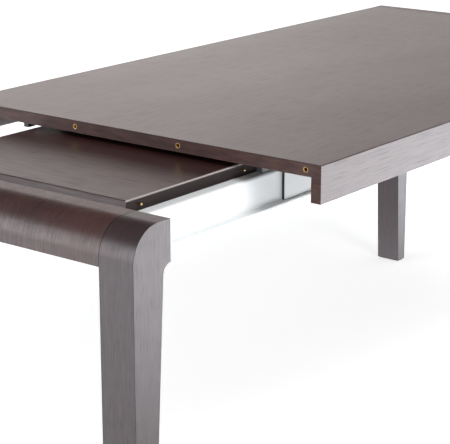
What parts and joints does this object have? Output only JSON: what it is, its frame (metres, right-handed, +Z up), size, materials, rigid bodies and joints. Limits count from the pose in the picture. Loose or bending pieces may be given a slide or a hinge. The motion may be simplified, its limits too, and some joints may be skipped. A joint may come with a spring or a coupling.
{
  "type": "extending dining table",
  "caption": "Dark wood dining table whose rounded end pulls out on white steel beams, with a spare leaf stored on them under the main top.",
  "frame": {"origin": "on the floor, under the middle of the table as it stands with its near end pulled out as in the picture", "axes": "+X along the table from the pull-out end to the fixed end, +Y across to the left side, +Z up"},
  "size_m": [2.158, 0.9, 0.75],
  "materials": {
    "wood_top": "dark stained open-grain veneer, satin lacquer",
    "wood_apron": "dark stained open-grain wood, satin lacquer",
    "wood_ends": "dark stained open-grain wood, satin lacquer",
    "plain_wood": "bare beech",
    "white_paint": "white powder coat",
    "plated_steel": "zinc plated",
    "brass": "turned",
    "black_plastic": "moulded",
    "rubber": "matt"
  },
  "bodies": {
    "main_table": {"main_top": "wood_top", "left_apron": "wood_apron", "right_apron": "wood_apron", "top_end_bushes": "brass", "far_cross_rail": "wood_ends", "far_left_leg": "wood_ends", "far_right_leg": "wood_ends", "far_corner_blocks": "plain_wood", "far_leg_bolts": "plated_steel", "far_dowels": "plain_wood", "far_leg_glides": "black_plastic", "far_end_brackets": "plated_steel", "bracket_screws": "plated_steel", "left_guide": "white_paint", "right_guide": "white_paint", "guide_caps": "black_plastic", "left_guide_liner": "black_plastic", "right_guide_liner": "black_plastic", "guide_screws": "plated_steel", "left_keeper_clips": "plated_steel", "right_keeper_clips": "plated_steel", "keeper_screws": "plated_steel", "opening_stops": "plated_steel"},
    "pull_out_end": {"near_cross_rail": "wood_ends", "near_left_leg": "wood_ends", "near_right_leg": "wood_ends", "near_corner_blocks": "plain_wood", "near_leg_bolts": "plated_steel", "near_dowels": "plain_wood", "near_leg_glides": "black_plastic", "near_end_pins": "brass", "left_beam": "white_paint", "right_beam": "white_paint", "left_end_plate": "white_paint", "right_end_plate": "white_paint", "end_plate_screws": "plated_steel", "tie_bar": "white_paint", "tie_bar_screws": "plated_steel", "beam_stops": "white_paint", "stop_buffers": "rubber", "leaf_stops": "black_plastic"},
    "leaf": {"extension_leaf": "wood_top", "leaf_pins": "brass", "leaf_bushes": "brass"}
  },
  "joints": [
    {"name": "end_slide", "type": "slide", "parent": "main_table", "child": "pull_out_end", "axis": [-1, 0, 0], "range_m": [-0.4075, 0.622]},
    {"name": "leaf_slide", "type": "slide", "parent": "pull_out_end", "child": "leaf", "axis": [-1, 0, 0], "range_m": [0, 0.1195]}
  ]
}
